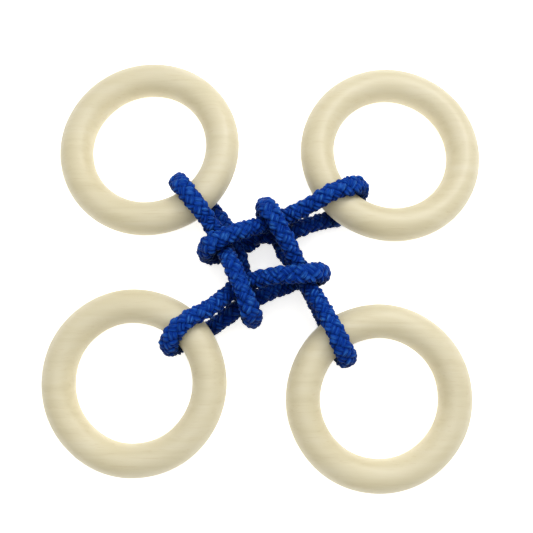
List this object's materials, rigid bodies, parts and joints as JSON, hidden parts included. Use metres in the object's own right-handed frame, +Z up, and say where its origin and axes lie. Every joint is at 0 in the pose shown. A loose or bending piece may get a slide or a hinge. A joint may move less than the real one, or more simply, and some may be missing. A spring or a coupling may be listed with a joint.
{
  "type": "ring and cord disentanglement puzzle",
  "caption": "Disentanglement puzzle: turned wooden rings, each held by an endless loop of braided cord, with the loops looped over one another in a square weave.",
  "frame": {"origin": "middle of the puzzle's bounding box, on the table it lies on", "axes": "+Z up from the table; +Y towards the two top rings; +X towards the two right-hand rings, as seen from above"},
  "size_m": [0.1316, 0.1304, 0.0218],
  "materials": {
    "wood": "satin",
    "cord": "satin",
    "melted_cord": "gloss"
  },
  "bodies": {
    "loop_bottom_left": {"cord_loop_bottom_left": "cord", "fused_join_bottom_left": "melted_cord"},
    "loop_top_left": {"cord_loop_top_left": "cord", "fused_join_top_left": "melted_cord"},
    "loop_bottom_right": {"cord_loop_bottom_right": "cord", "fused_join_bottom_right": "melted_cord"},
    "loop_top_right": {"cord_loop_top_right": "cord", "fused_join_top_right": "melted_cord"},
    "ring_bottom_left": {"ring_bottom_left": "wood"},
    "ring_top_left": {"ring_top_left": "wood"},
    "ring_bottom_right": {"ring_bottom_right": "wood"},
    "ring_top_right": {"ring_top_right": "wood"}
  },
  "joints": [
    {"name": "slack_top_left", "type": "slide", "parent": "loop_bottom_left", "child": "loop_top_left", "axis": [0.5982, -0.8013, 0], "range_m": [0, 0.002]},
    {"name": "slack_bottom_right", "type": "slide", "parent": "loop_bottom_left", "child": "loop_bottom_right", "axis": [-0.4796, 0.8775, 0], "range_m": [0, 0.002]},
    {"name": "slack_top_right", "type": "slide", "parent": "loop_bottom_left", "child": "loop_top_right", "axis": [-0.9224, -0.3863, 0], "range_m": [0, 0.002]},
    {"name": "lift_bottom_left", "type": "hinge", "parent": "loop_bottom_left", "child": "ring_bottom_left", "pos_m": [-0.02141, -0.01879, 0.0104], "axis": [-0.6494, 0.7604, 0], "range_deg": [0, 75]},
    {"name": "lift_top_left", "type": "hinge", "parent": "loop_top_left", "child": "ring_top_left", "pos_m": [-0.02055, 0.02094, 0.0104], "axis": [0.7547, 0.6561, 0], "range_deg": [0, 75]},
    {"name": "lift_bottom_right", "type": "hinge", "parent": "loop_bottom_right", "child": "ring_bottom_right", "pos_m": [0.02031, -0.01984, 0.0104], "axis": [-0.8039, -0.5948, 0], "range_deg": [0, 75]},
    {"name": "lift_top_right", "type": "hinge", "parent": "loop_top_right", "child": "ring_top_right", "pos_m": [0.02288, 0.01993, 0.0104], "axis": [0.7193, -0.6947, 0], "range_deg": [0, 75]}
  ]
}
